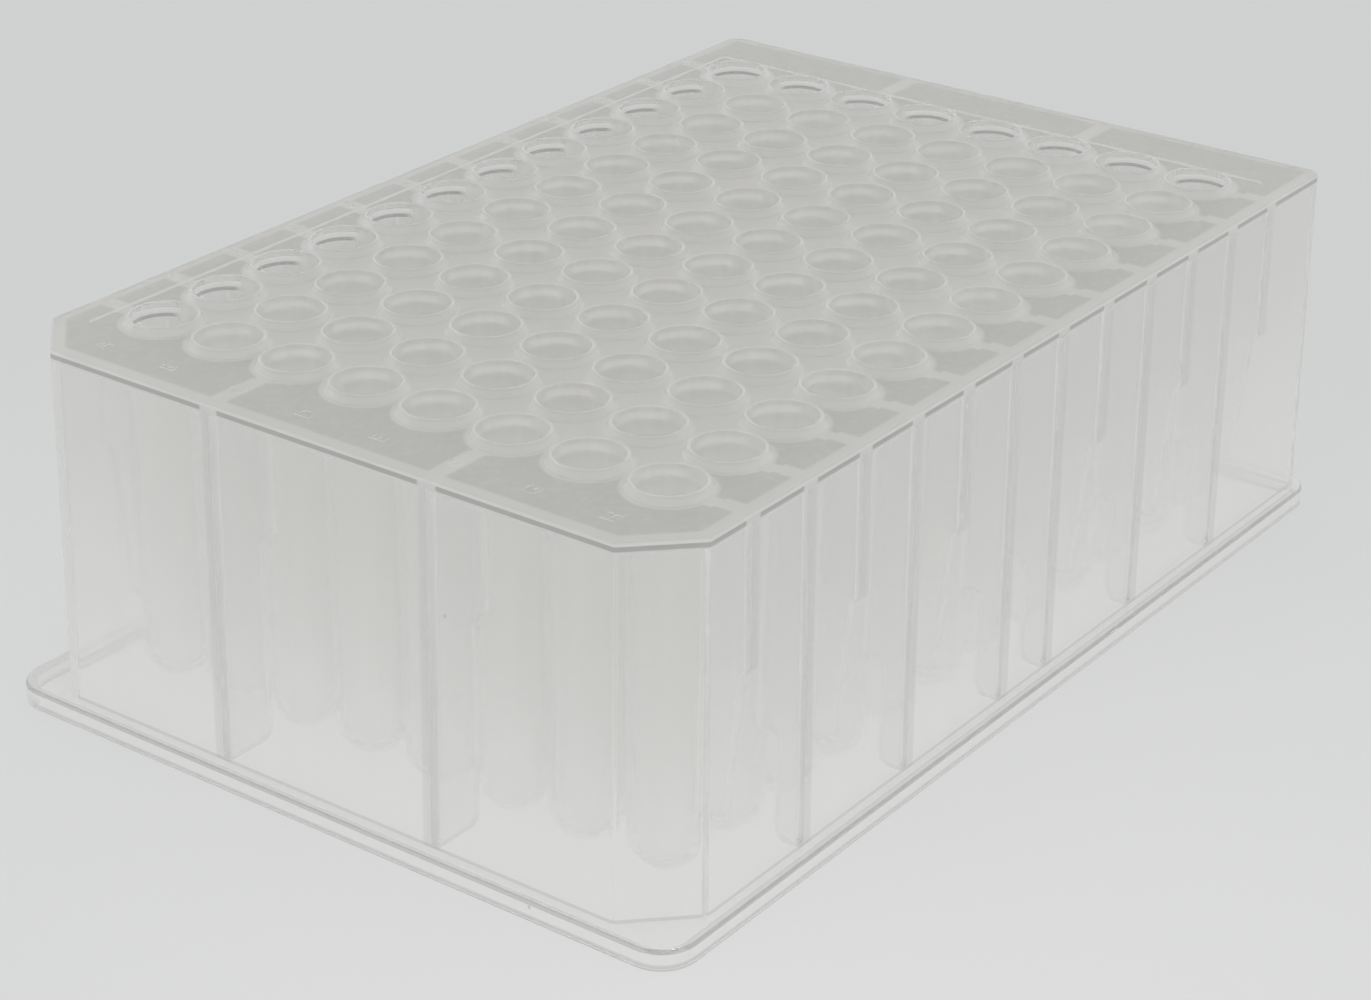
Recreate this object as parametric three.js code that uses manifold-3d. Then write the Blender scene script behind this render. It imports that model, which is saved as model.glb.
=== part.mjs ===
// Deep well plate: one moulding with a grid of round-bottomed tubes that hang under a deck,
// inside a leaning skirt that stands on a stepped foot.
//
// Millimetres, +Z up. X runs along the columns' numbers, Y from the last row to row A. The
// origin is the middle of the footprint, on the surface that the plate stands on. The two
// bevelled corners are at -X. A round section is drawn as a polygon of the same area, so the
// wells hold what round ones would and the moulding keeps its real weight.

import * as THREE from 'three';
import { ConvexGeometry } from 'three/addons/geometries/ConvexGeometry.js';
import { mergeVertices } from 'three/addons/utils/BufferGeometryUtils.js';
import Module from 'manifold-3d';

// Grid of wells, and where its outermost centres lie from the plate's outer edges
const COLUMNS = 12;
const ROWS = 8;
const PITCH = 9;
const END_MARGIN = 14.38;
const SIDE_MARGIN = 11.24;

// Foot: a low wall round the base, with a ledge on top that carries the skirt
const FOOT_HEIGHT = 2.3;
const FOOT_WALL = 1.2;
const FOOT_CORNER_RADIUS = 4;
const LEDGE_WIDTH = 1.46;
const LEDGE_THICKNESS = 1;
const LEDGE_EDGE_BEVEL = 0.3;

// Notch in the foot under the ledge, at the corner of the last column and the last row
const NOTCH_LENGTH = 2.6;
const NOTCH_WIDTH = 2.8;
const NOTCH_SLANT = 1.3;

// Skirt: its walls lean in from the ledge to the deck
const SKIRT_WALL = 1.1;
const SKIRT_LEAN = 0.55;
const CORNER_BEVEL_LEG = 6.3;
const SKIRT_CORNER_RADIUS = 1.5;

// Deck, with a shallow recess that holds the rims
const DECK_HEIGHT = 40.85;
const DECK_THICKNESS = 1;
const DECK_EDGE_BEVEL = 0.3;
const RECESS_DEPTH = 0.25;
const RECESS_END_MARGIN = 5.2;
const RECESS_SIDE_MARGIN = 5.7;

// Wells: tapered bores with round bottoms, in tubes of even wall, with a raised rim
const MOUTH_RADIUS = 3.4;
const BORE_BOTTOM_RADIUS = 3;
const TUBE_WALL = 0.75;
const TUBE_CLEARANCE = 1.4;
const RIM_LAND = 0.4;
const RIM_HEIGHT = 0.6;

// Ribs that tie the outermost tubes to the walls
const RIB_THICKNESS = 1.2;
const RIB_FILLET = 1.3;
const WALL_RIB_DEPTH = 2.5;
const WALL_RIB_STEP_HEIGHT = 14;
const TUBE_RIB_STEP_HEIGHT = 25;
const TUBE_RIB_END_HEIGHT = 8.8;
const TUBE_RIB_GAP_AT_STEP = 1;
const TUBE_RIB_GAP_AT_END = 2.4;
const END_RIB_DEPTH = 5.9;
const END_RIB_STEP_HEIGHT = 24.3;
const END_RIB_ROW = 2;

// Facets
const WELL_SIDES = 8;
const WELL_BOTTOM_SIDES = 4;
const WELL_BOTTOM_FLAT = 0.72;
const CORNER_STEPS = 4;
const FILLET_STEPS = 2;
const OVERRUN = 1;
const WELD = 1e-4;

const UP = new THREE.Vector3(0, 0, 1);

const footHalfX = ((COLUMNS - 1) / 2) * PITCH + END_MARGIN;
const footHalfY = ((ROWS - 1) / 2) * PITCH + SIDE_MARGIN;
const skirtHalfX = footHalfX - LEDGE_WIDTH;
const skirtHalfY = footHalfY - LEDGE_WIDTH;
const ledgeUnderside = FOOT_HEIGHT - LEDGE_THICKNESS;
const deckUnderside = DECK_HEIGHT - DECK_THICKNESS;
const recessFloor = DECK_HEIGHT - RECESS_DEPTH;
const rimTop = DECK_HEIGHT + RIM_HEIGHT;
const ribTop = deckUnderside + DECK_THICKNESS / 2;
const endReach = END_MARGIN - LEDGE_WIDTH - SKIRT_WALL;
const sideReach = SIDE_MARGIN - LEDGE_WIDTH - SKIRT_WALL;

const naturalPlastic = new THREE.MeshStandardMaterial({
  name: 'natural_polypropylene',
  color: 0xdfe1e0,
  roughness: 0.35,
  metalness: 0,
});

const library = await Module();
library.setup();

// Manifold solid of a closed three.js geometry
function solidOf(geometry) {
  const bare = geometry.clone();
  bare.deleteAttribute('normal');
  bare.deleteAttribute('uv');
  const welded = mergeVertices(bare, WELD);
  return new library.Manifold(new library.Mesh({
    numProp: 3,
    vertProperties: welded.attributes.position.array,
    triVerts: new Uint32Array(welded.index.array),
  }));
}

function joined(solids) {
  return solids.reduce((whole, next) => whole.add(next));
}

// Solid hull of several closed rings, each a list of points at one height
function hullOf(...rings) {
  return solidOf(new ConvexGeometry(rings.flat()));
}

// Points of a quarter turn round (x, y), counter-clockwise from the angle start
function cornerArc(x, y, radius, start) {
  return Array.from({ length: CORNER_STEPS + 1 }, (_, step) => {
    const angle = start + (step / CORNER_STEPS) * (Math.PI / 2);
    return [x + radius * Math.cos(angle), y + radius * Math.sin(angle)];
  });
}

function atHeight(outline, z) {
  return outline.map(([x, y]) => new THREE.Vector3(x, y, z));
}

// The foot's rounded rectangle, drawn in from its outer faces by inset
function footRing(inset, z) {
  const x = footHalfX - FOOT_CORNER_RADIUS;
  const y = footHalfY - FOOT_CORNER_RADIUS;
  const radius = FOOT_CORNER_RADIUS - inset;
  return atHeight([
    ...cornerArc(x, y, radius, 0),
    ...cornerArc(-x, y, radius, Math.PI / 2),
    ...cornerArc(-x, -y, radius, Math.PI),
    ...cornerArc(x, -y, radius, -Math.PI / 2),
  ], z);
}

// The skirt's section at height z, drawn in by inset: bevelled at -X and rounded at +X
function skirtRing(inset, z) {
  const lean = (SKIRT_LEAN * (z - FOOT_HEIGHT)) / (DECK_HEIGHT - FOOT_HEIGHT);
  const drawnIn = inset + lean;
  const halfX = skirtHalfX - drawnIn;
  const halfY = skirtHalfY - drawnIn;
  const leg = CORNER_BEVEL_LEG - drawnIn * (2 - Math.SQRT2);
  const radius = Math.max(SKIRT_CORNER_RADIUS - inset, SKIRT_CORNER_RADIUS / 4);
  return atHeight([
    ...cornerArc(halfX - radius, halfY - radius, radius, 0),
    [-halfX + leg, halfY],
    [-halfX, halfY - leg],
    [-halfX, -halfY + leg],
    [-halfX + leg, -halfY],
    ...cornerArc(halfX - radius, -halfY + radius, radius, -Math.PI / 2),
  ], z);
}

// Polygon with the area of a circle of this radius, one side facing each axis
function roundRing(radius, z, sides) {
  const turn = (2 * Math.PI) / sides;
  const reach = radius * Math.sqrt((2 * Math.PI) / (sides * Math.sin(turn)));
  return Array.from({ length: sides }, (_, corner) => {
    const angle = (corner + 0.5) * turn;
    return new THREE.Vector3(reach * Math.cos(angle), reach * Math.sin(angle), z);
  });
}

// Shell: foot, skirt and deck in one, open underneath
function makeShell() {
  const foot = hullOf(
    footRing(0, 0),
    footRing(0, FOOT_HEIGHT - LEDGE_EDGE_BEVEL),
    footRing(LEDGE_EDGE_BEVEL, FOOT_HEIGHT),
  );
  const skirt = hullOf(
    skirtRing(0, ledgeUnderside),
    skirtRing(0, DECK_HEIGHT - DECK_EDGE_BEVEL),
    skirtRing(DECK_EDGE_BEVEL, DECK_HEIGHT),
  );
  const footHollow = hullOf(footRing(FOOT_WALL, -OVERRUN), footRing(FOOT_WALL, ledgeUnderside));
  const skirtHollow = hullOf(skirtRing(SKIRT_WALL, -OVERRUN), skirtRing(SKIRT_WALL, deckUnderside));
  return foot.add(skirt).subtract(footHollow).subtract(skirtHollow);
}

// Recess in the deck round the whole grid of wells
function makeRecess() {
  const length = (COLUMNS - 1) * PITCH + 2 * RECESS_END_MARGIN;
  const width = (ROWS - 1) * PITCH + 2 * RECESS_SIDE_MARGIN;
  const height = RECESS_DEPTH + OVERRUN;
  const box = new THREE.BoxGeometry(length, width, height);
  return solidOf(box.translate(0, 0, recessFloor + height / 2));
}

// Notch in the foot's wall: upright on the short side, slanting up on the long side
function makeNotch() {
  const start = footHalfX - NOTCH_LENGTH;
  const end = footHalfX + OVERRUN;
  const side = new THREE.Shape([
    new THREE.Vector2(start, -OVERRUN),
    new THREE.Vector2(end, -OVERRUN),
    new THREE.Vector2(end, ledgeUnderside),
    new THREE.Vector2(start + NOTCH_SLANT, ledgeUnderside),
    new THREE.Vector2(start, 0),
  ]);
  const depth = NOTCH_WIDTH + OVERRUN;
  const block = new THREE.ExtrudeGeometry(side, { depth, bevelEnabled: false });
  block.rotateX(Math.PI / 2);
  return solidOf(block.translate(0, -footHalfY + NOTCH_WIDTH, 0));
}

// Outside of one tube on the Z axis, from the top of its rim to its round bottom
function makeTube() {
  const topRadius = MOUTH_RADIUS + TUBE_WALL;
  const bottomRadius = BORE_BOTTOM_RADIUS + TUBE_WALL;
  return hullOf(
    roundRing(MOUTH_RADIUS + RIM_LAND, rimTop, WELL_SIDES),
    roundRing(topRadius, recessFloor, WELL_SIDES),
    roundRing(bottomRadius, TUBE_CLEARANCE + bottomRadius, WELL_SIDES),
    roundRing(WELL_BOTTOM_FLAT * bottomRadius, TUBE_CLEARANCE, WELL_BOTTOM_SIDES),
  );
}

// Hollow of one well on the Z axis, run on straight above its mouth
function makeBore() {
  const floor = TUBE_CLEARANCE + TUBE_WALL;
  return hullOf(
    roundRing(MOUTH_RADIUS, rimTop + OVERRUN, WELL_SIDES),
    roundRing(MOUTH_RADIUS, rimTop, WELL_SIDES),
    roundRing(BORE_BOTTOM_RADIUS, floor + BORE_BOTTOM_RADIUS, WELL_SIDES),
    roundRing(WELL_BOTTOM_FLAT * BORE_BOTTOM_RADIUS, floor, WELL_BOTTOM_SIDES),
  );
}

// Rib outline from a tube's axis (0) out into a wall whose inner face is at reach: a web above
// the step, and below it a strip that runs down the wall to the level of the ledge
function wallRibOutline(reach, depth, stepHeight) {
  const inWall = reach + SKIRT_WALL / 2;
  const edge = reach - depth;
  const outline = new THREE.Shape();
  outline.moveTo(inWall, FOOT_HEIGHT);
  outline.lineTo(inWall - SKIRT_LEAN, ribTop);
  outline.lineTo(0, ribTop);
  outline.lineTo(0, stepHeight);
  outline.lineTo(edge - RIB_FILLET, stepHeight);
  outline.quadraticCurveTo(edge, stepHeight, edge, stepHeight - RIB_FILLET);
  outline.lineTo(edge, FOOT_HEIGHT + RIB_FILLET);
  outline.quadraticCurveTo(edge, FOOT_HEIGHT, edge + RIB_FILLET, FOOT_HEIGHT);
  return outline;
}

// Rib outline with a web above the step, and below it a fin that runs down the tube and
// draws away from the wall
function tubeRibOutline(reach) {
  const inWall = reach + SKIRT_WALL / 2;
  const finTop = reach - TUBE_RIB_GAP_AT_STEP;
  const outline = new THREE.Shape();
  outline.moveTo(0, TUBE_RIB_END_HEIGHT);
  outline.lineTo(reach - TUBE_RIB_GAP_AT_END, TUBE_RIB_END_HEIGHT);
  outline.lineTo(finTop, TUBE_RIB_STEP_HEIGHT - TUBE_RIB_GAP_AT_STEP);
  outline.quadraticCurveTo(finTop, TUBE_RIB_STEP_HEIGHT, reach, TUBE_RIB_STEP_HEIGHT);
  outline.lineTo(inWall - SKIRT_LEAN / 2, TUBE_RIB_STEP_HEIGHT);
  outline.lineTo(inWall - SKIRT_LEAN, ribTop);
  outline.lineTo(0, ribTop);
  return outline;
}

// Rib solid on a tube's axis, its outline pointing along outward
function makeRib(outline, outward, axisX, axisY) {
  const sideways = new THREE.Vector3().crossVectors(outward, UP);
  const plate = new THREE.ExtrudeGeometry(outline, {
    depth: RIB_THICKNESS,
    curveSegments: FILLET_STEPS,
    bevelEnabled: false,
  });
  plate.translate(0, 0, -RIB_THICKNESS / 2);
  plate.applyMatrix4(new THREE.Matrix4().makeBasis(outward, UP, sideways));
  return solidOf(plate.translate(axisX, axisY, 0));
}

const columnX = (column) => (column - (COLUMNS - 1) / 2) * PITCH;
const rowY = (row) => (row - (ROWS - 1) / 2) * PITCH;
const fromNearestEnd = (index, count) => Math.min(index, count - 1 - index);

// Ribs on the long sides: the two kinds take turns from each end towards the middle
function makeSideRibs() {
  const ribs = [];
  for (const side of [-1, 1]) {
    const outward = new THREE.Vector3(0, side, 0);
    for (let column = 0; column < COLUMNS; column += 1) {
      const onWall = fromNearestEnd(column, COLUMNS) % 2 === 1;
      const outline = onWall
        ? wallRibOutline(sideReach, WALL_RIB_DEPTH, WALL_RIB_STEP_HEIGHT)
        : tubeRibOutline(sideReach);
      ribs.push(makeRib(outline, outward, columnX(column), side * rowY(ROWS - 1)));
    }
  }
  return ribs;
}

// Ribs on the short sides, at the same row counted from either end
function makeEndRibs() {
  const ribs = [];
  for (const side of [-1, 1]) {
    const outward = new THREE.Vector3(side, 0, 0);
    for (let row = 0; row < ROWS; row += 1) {
      if (fromNearestEnd(row, ROWS) === END_RIB_ROW) {
        const outline = wallRibOutline(endReach, END_RIB_DEPTH, END_RIB_STEP_HEIGHT);
        ribs.push(makeRib(outline, outward, side * columnX(COLUMNS - 1), rowY(row)));
      }
    }
  }
  return ribs;
}

// Copies of a solid on the Z axis, one at each well
function atEachWell(solid) {
  const copies = [];
  for (let column = 0; column < COLUMNS; column += 1) {
    for (let row = 0; row < ROWS; row += 1) {
      copies.push(solid.translate([columnX(column), rowY(row), 0]));
    }
  }
  return copies;
}

function makePlate() {
  const shell = makeShell().subtract(makeRecess()).subtract(makeNotch());
  const filled = joined([shell, ...makeSideRibs(), ...makeEndRibs(), ...atEachWell(makeTube())]);
  return filled.subtract(joined(atEachWell(makeBore())));
}

function geometryOf(solid) {
  const { vertProperties, triVerts } = solid.getMesh();
  const geometry = new THREE.BufferGeometry();
  geometry.setAttribute('position', new THREE.BufferAttribute(vertProperties, 3));
  geometry.setIndex(new THREE.BufferAttribute(triVerts, 1));
  geometry.computeVertexNormals();
  return geometry;
}

const group = new THREE.Group();
const plate = new THREE.Mesh(geometryOf(makePlate()), naturalPlastic);
plate.name = 'well_plate';
group.add(plate);

export default group;
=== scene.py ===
# Deep well plate, moulded in one piece from natural polypropylene: its visual model.
#
# The file is laid out as an add-on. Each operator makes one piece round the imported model's
# frame, or the stage that it stands on. Lengths are in metres, and the plate stands at the
# origin with X along its long side, Y towards row A and Z up.
import math

import bmesh
import bpy
from bpy.props import FloatProperty, FloatVectorProperty, IntProperty, PointerProperty
from bpy.types import Operator, Panel, PropertyGroup
from mathutils import Matrix, Vector


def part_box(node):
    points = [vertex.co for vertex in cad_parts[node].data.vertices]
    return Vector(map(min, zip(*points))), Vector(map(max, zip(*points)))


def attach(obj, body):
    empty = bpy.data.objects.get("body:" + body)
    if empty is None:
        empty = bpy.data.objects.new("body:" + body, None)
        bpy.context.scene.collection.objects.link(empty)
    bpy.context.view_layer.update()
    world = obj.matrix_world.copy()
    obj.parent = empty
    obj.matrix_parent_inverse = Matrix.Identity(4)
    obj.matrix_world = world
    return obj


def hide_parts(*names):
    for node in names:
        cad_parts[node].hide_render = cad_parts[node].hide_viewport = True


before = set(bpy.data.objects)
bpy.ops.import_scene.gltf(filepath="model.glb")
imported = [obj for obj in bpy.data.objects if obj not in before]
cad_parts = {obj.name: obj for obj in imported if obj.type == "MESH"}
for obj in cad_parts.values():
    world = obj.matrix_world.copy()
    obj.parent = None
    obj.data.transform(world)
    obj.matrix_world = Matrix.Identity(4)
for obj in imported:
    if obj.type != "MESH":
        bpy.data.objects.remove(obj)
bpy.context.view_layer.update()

bl_info = {
    "name": "Deep well plate",
    "version": (1, 0, 0),
    "blender": (4, 5, 0),
    "location": "3D View > Sidebar > Well plate",
    "description": "Makes a deep well plate in natural plastic, its marks and a studio stage",
    "category": "Add Mesh",
}

MM = 0.001
OVERRUN = 1 * MM  # how far a cutter reaches past what it cuts
OVERLAP = 0.1 * MM  # how far two solids reach into each other before they are joined
SOFT = 0.2 * MM  # width of a mask's soft edge, where no finer one is given
SMOOTH_ANGLE = 32  # degrees; edges sharper than this stay sharp
NODE = "well_plate"
BODY = "root"

plate_low, plate_high = (Vector(corner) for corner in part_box(NODE))
plate_size = plate_high - plate_low


# ---------------------------------------------------------------- settings

def length(name, description, millimetres):
    """Length property with its default in millimetres."""
    return FloatProperty(name=name, description=description, default=millimetres * MM,
                         min=0.0, unit="LENGTH", subtype="DISTANCE", precision=5)


def count(name, description, default):
    return IntProperty(name=name, description=description, default=default, min=1)


def fraction(name, description, default):
    return FloatProperty(name=name, description=description, default=default,
                         min=0.0, max=1.0, subtype="FACTOR")


def colour(name, description, default):
    return FloatVectorProperty(name=name, description=description, default=default,
                               size=3, min=0.0, max=1.0, subtype="COLOR")


class WellGridSettings(PropertyGroup):
    columns: count("Columns", "Wells along the long side", 12)
    rows: count("Rows", "Wells along the short side", 8)
    pitch: length("Pitch", "Distance between neighbouring well centres", 9)


class ShellSettings(PropertyGroup):
    foot_height: length("Foot height", "From the bench to the top of the ledge", 2.3)
    foot_wall: length("Foot wall", "Thickness of the low wall round the base", 1.2)
    foot_radius: length("Foot corner radius", "Radius of the foot's outer corners", 4)
    ledge_width: length("Ledge width", "From the foot's outer face to the skirt", 1.46)
    ledge_thickness: length("Ledge thickness", "Thickness of the ledge over the foot", 1)
    ledge_round: length("Ledge rounding", "Radius of the ledge's outer top edge", 0.45)
    skirt_wall: length("Skirt wall", "Thickness of the skirt", 1.1)
    skirt_lean: length("Skirt lean", "How far the skirt leans in from ledge to deck", 0.55)
    bevel_leg: length("Corner bevel", "Leg of the bevelled corners at the ledge", 6.3)
    bevel_round: length("Bevel rounding", "Radius along the bevel's upright edges", 0.5)
    corner_radius: length("Corner radius", "Radius of the skirt's plain corners", 1.5)
    rim_height: length("Rim height", "From the deck's border to the rims' tops", 0.6)
    deck_thickness: length("Deck thickness", "Thickness of the deck's border", 1)
    deck_round: length("Deck edge rounding", "Radius of the deck's outer edge", 0.3)
    deck_fillet: length("Deck fillet", "Fillet between the skirt and the deck", 0.8)
    recess_depth: length("Recess depth", "Depth of the recess that holds the rims", 0.25)
    recess_end: length("Recess end margin", "From the last column to the recess's edge", 5.2)
    recess_side: length("Recess side margin", "From the outer row to the recess's edge", 5.7)
    recess_radius: length("Recess corner radius", "Radius of the recess's corners", 0.7)
    notch_length: length("Notch length", "Length of the foot's notch on the long side", 2.6)
    notch_width: length("Notch width", "Width of the foot's notch on the short side", 2.8)
    corner_steps: count("Corner steps", "Facets in a quarter turn of a corner", 8)


class WellSettings(PropertyGroup):
    mouth_radius: length("Mouth radius", "Radius of the bore at its mouth", 3.4)
    bottom_radius: length("Bottom radius", "Radius of the bore above its round bottom", 3)
    wall: length("Tube wall", "Thickness of the tubes", 0.75)
    clearance: length("Clearance", "From the bench to the tubes' lowest point", 1.4)
    rim_land: length("Rim land", "Width of the rim's flat top", 0.4)
    rim_round: length("Rim rounding", "Radius of the rim's edges", 0.14)
    rim_flare: length("Rim fillet", "Fillet between the rim and the deck", 0.15)
    root_fillet: length("Root fillet", "Fillet between a tube and the deck's underside", 0.3)
    steps: count("Steps", "Facets round a well", 32)
    dome_steps: count("Dome steps", "Rings of facets in a round bottom", 6)


class RibSettings(PropertyGroup):
    thickness: length("Thickness", "Thickness of every rib", 1.2)
    fillet: length("Fillet", "Radius of the ribs' corners", 1.3)
    wall_depth: length("Wall rib depth", "Depth of a wall rib below its step", 2.5)
    wall_step: length("Wall rib step", "Height of a wall rib's step", 14)
    tube_step: length("Tube rib step", "Height of a tube rib's step", 25)
    tube_end: length("Tube rib end", "Height of a tube rib's lower end", 8.8)
    gap_at_step: length("Gap at step", "From a tube rib's edge to the wall, at its step", 1)
    gap_at_end: length("Gap at end", "From a tube rib's edge to the wall, at its end", 2.4)
    end_depth: length("End rib depth", "Depth of an end rib below its step", 5.9)
    end_step: length("End rib step", "Height of an end rib's step", 24.3)


class MarkSettings(PropertyGroup):
    size: length("Size", "Size of a letter or number", 2.6)
    relief: length("Relief", "How far the marks stand above the deck", 0.12)
    letter_margin: length("Letter margin", "From the first column to the row letters", 8.3)
    number_margin: length("Number margin", "From row A to the column numbers", 7)


class PlasticSettings(PropertyGroup):
    # Painted light and shade: faces change from the low tint near the foot, as if lit from below,
    # to this darker tint near the deck
    tint: colour("Tint", "Tint of each face near the deck", (0.925, 0.925, 0.919))
    low_tint: colour("Low tint", "Tint of each face near the foot, lit from below", (1, 1, 0.995))
    deck_tint: colour("Deck tint", "Tint of the deck's upper side, turned from the light",
                      (0.8, 0.795, 0.773))
    # Painted shade: the thin deck over the hollows is darker than over the webs and tubes
    hollow_shade: colour("Hollow tint", "Tint of the thin deck over the hollows",
                        (0.61, 0.61, 0.59))
    # Painted shade: a dark line under the deck's edge, broken where webs stand behind it
    edge_shade: colour("Edge tint", "Tint of the dark line under the deck's edge",
                      (0.45, 0.45, 0.45))
    # Painted shade: the skirt is darker where a rib stands behind it
    web_shade: colour("Web tint", "Tint of the skirt where a rib stands behind it",
                     (0.84, 0.84, 0.84))
    # Painted shade on the rims' tops and sides, lighter than the deck's
    rim_shade: colour("Rim tint", "Tint of the rims' tops and sides", (0.87, 0.868, 0.856))
    # Painted light: the letters and numbers glow a little
    mark_light: colour("Mark light", "Light gathered in the letters and numbers",
                       (0.015, 0.015, 0.0145))
    # Painted light and shade in the wells: lighter towards the foot, as if lit from below, and
    # darker just under the rims
    bore_tint: colour("Bore tint", "Tint of the wells' insides", (1, 0.997, 0.982))
    mouth_shade: colour("Mouth tint", "Tint of the wells' insides near the rims",
                       (0.885, 0.882, 0.868))
    # Painted shadow: thin dark lines where the foot meets the floor and under the ledge's edge
    foot_line_shade: colour("Foot tint", "Tint of the thin lines round the foot", (0.6, 0.605, 0.61))
    low_end: length("Low end", "Height up to which the low tint holds", 6)
    wall_fade: length("Wall fade", "Height over which the walls change to their tint", 34)
    bore_fade: length("Bore fade", "Height over which the wells change to their tint", 28)
    mouth_depth: length("Mouth depth", "From the deck down to where the mouth tint starts", 2.4)
    mouth_fade: length("Mouth fade", "Height over which the mouth tint comes in", 1.6)
    streak_tint: colour("Streak tint", "Tint of the upright flow streaks", (0.955, 0.955, 0.955))
    wall_streaks: fraction("Wall streaks", "Strength of the streaks outside the wells", 0.2)
    speck_tint: colour("Speck tint", "Tint of the few dark specks", (0.4, 0.4, 0.39))
    glow: colour("Glow", "Light scattered inside the milky plastic", (0.605, 0.603, 0.591))
    milkiness: FloatProperty(name="Milkiness", default=220, min=0, description="Share of light "
                             "scattered on its way through the plastic, for each metre")
    haze: fraction("Haze", "Share of light that a face scatters", 0.16)
    roughness: fraction("Roughness", "Roughness of the skirt and the tubes' outsides", 0.11)
    core_roughness: fraction("Core roughness", "Roughness of the bores, the rims and the deck", 0.3)
    refraction: FloatProperty(name="Refractive index", description="Refractive index",
                              default=1.36, min=1.0, max=2.5)
    soft_edge: length("Soft edge", "Width over which the shading over a web fades", 0.5)
    bump: length("Bump", "Height of the skin's flow marks", 0.006)


class StageSettings(PropertyGroup):
    # Painted pool of light: the floor is paler round the plate and greys further off, with uneven
    # patches
    pool_floor: colour("Near floor", "Colour of the floor round the plate", (0.74, 0.74, 0.742))
    floor_past_pool: colour("Far floor", "Colour of the floor further off", (0.625, 0.641, 0.634))
    floor_reach: length("Floor reach", "Distance over which the floor changes colour", 240)
    floor_glow: fraction("Floor glow", "Share of the floor's light that comes from below", 0.8)
    light: colour("Light", "Even light from all round", (1, 1, 1))
    horizon: colour("Horizon", "Colour of the surroundings at table height", (0.68, 0.682, 0.672))
    zenith: colour("Zenith", "Colour of the surroundings overhead", (0.3, 0.3, 0.3))


class WellPlateSettings(PropertyGroup):
    grid: PointerProperty(type=WellGridSettings)
    shell: PointerProperty(type=ShellSettings)
    well: PointerProperty(type=WellSettings)
    rib: PointerProperty(type=RibSettings)
    mark: PointerProperty(type=MarkSettings)
    plastic: PointerProperty(type=PlasticSettings)
    stage: PointerProperty(type=StageSettings)


# ---------------------------------------------------------------- mesh making

def arc(x, y, radius, start, turn, steps):
    """Points of an arc round (x, y); angles are in degrees, counter-clockwise."""
    points = []
    for step in range(steps + 1):
        angle = math.radians(start + turn * step / steps)
        points.append((x + radius * math.cos(angle), y + radius * math.sin(angle)))
    return points


def rounded(corners, steps):
    """Counter-clockwise outline through corners (x, y, radius), each rounded by an arc."""
    outline = []
    total = len(corners)
    for index, (x, y, radius) in enumerate(corners):
        here = Vector((x, y))
        before = (Vector(corners[index - 1][:2]) - here).normalized()
        after = (Vector(corners[(index + 1) % total][:2]) - here).normalized()
        half = before.angle(after) / 2
        centre = here + (before + after).normalized() * (radius / math.sin(half))
        first = here + before * (radius / math.tan(half)) - centre
        turn = 180 - 2 * math.degrees(half)
        if before.cross(after) > 0:
            turn = -turn
        start = math.degrees(math.atan2(first.y, first.x))
        outline += arc(centre.x, centre.y, radius, start, turn, steps)
    return outline


def new_object(name, vertices, faces):
    """Object with a new mesh, placed in the scene."""
    mesh = bpy.data.meshes.new(name)
    mesh.from_pydata([tuple(vertex) for vertex in vertices], [], faces)
    mesh.update()
    piece = bpy.data.objects.new(name, mesh)
    bpy.context.scene.collection.objects.link(piece)
    return piece


def loft(name, rings):
    """Closed solid through rings of (outline, height), from the lowest to the highest."""
    total = len(rings[0][0])
    vertices = [(x, y, z) for outline, z in rings for x, y in outline]
    faces = [list(range(total))[::-1]]
    for level in range(len(rings) - 1):
        low = level * total
        high = low + total
        for index in range(total):
            follow = (index + 1) % total
            faces.append([low + index, low + follow, high + follow, high + index])
    faces.append([(len(rings) - 1) * total + index for index in range(total)])
    return new_object(name, vertices, faces)


def turned(name, profile, steps):
    """Closed solid of revolution; the profile (radius, height) runs down from axis to axis."""
    top, *rings, bottom = profile
    vertices = [(0, 0, top[1]), (0, 0, bottom[1])]
    for radius, z in rings:
        for step in range(steps):
            angle = 2 * math.pi * step / steps
            vertices.append((radius * math.cos(angle), radius * math.sin(angle), z))
    faces = []
    for step in range(steps):
        follow = (step + 1) % steps
        last = 2 + (len(rings) - 1) * steps
        faces.append([0, 2 + step, 2 + follow])
        faces.append([1, last + follow, last + step])
        for level in range(len(rings) - 1):
            high = 2 + level * steps
            low = high + steps
            faces.append([high + step, low + step, low + follow, high + follow])
    return new_object(name, vertices, faces)


def slab(name, outline, thickness):
    """Upright plate with its outline in X and Z and its thickness centred on Y = 0."""
    total = len(outline)
    vertices = [(x, -thickness / 2, z) for x, z in outline]
    vertices += [(x, thickness / 2, z) for x, z in outline]
    faces = [list(range(total)), [total + index for index in range(total)][::-1]]
    for index in range(total):
        follow = (index + 1) % total
        faces.append([follow, index, total + index, total + follow])
    return new_object(name, vertices, faces)


def plain_copy(name, source):
    """New object with the evaluated mesh of source, which is then deleted."""
    depsgraph = bpy.context.evaluated_depsgraph_get()
    mesh = bpy.data.meshes.new_from_object(source.evaluated_get(depsgraph), depsgraph=depsgraph)
    mesh.name = name
    bpy.data.objects.remove(source)
    piece = bpy.data.objects.new(name, mesh)
    bpy.context.scene.collection.objects.link(piece)
    return piece


def combine(operation, whole, other):
    """Whole with other joined to it ('UNION') or cut out of it ('DIFFERENCE')."""
    modifier = whole.modifiers.new("combine", "BOOLEAN")
    modifier.operation = operation
    modifier.solver = "MANIFOLD"
    modifier.object = other
    result = plain_copy(whole.name, whole)
    bpy.data.objects.remove(other)
    return result


# ---------------------------------------------------------------- geometry nodes

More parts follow.
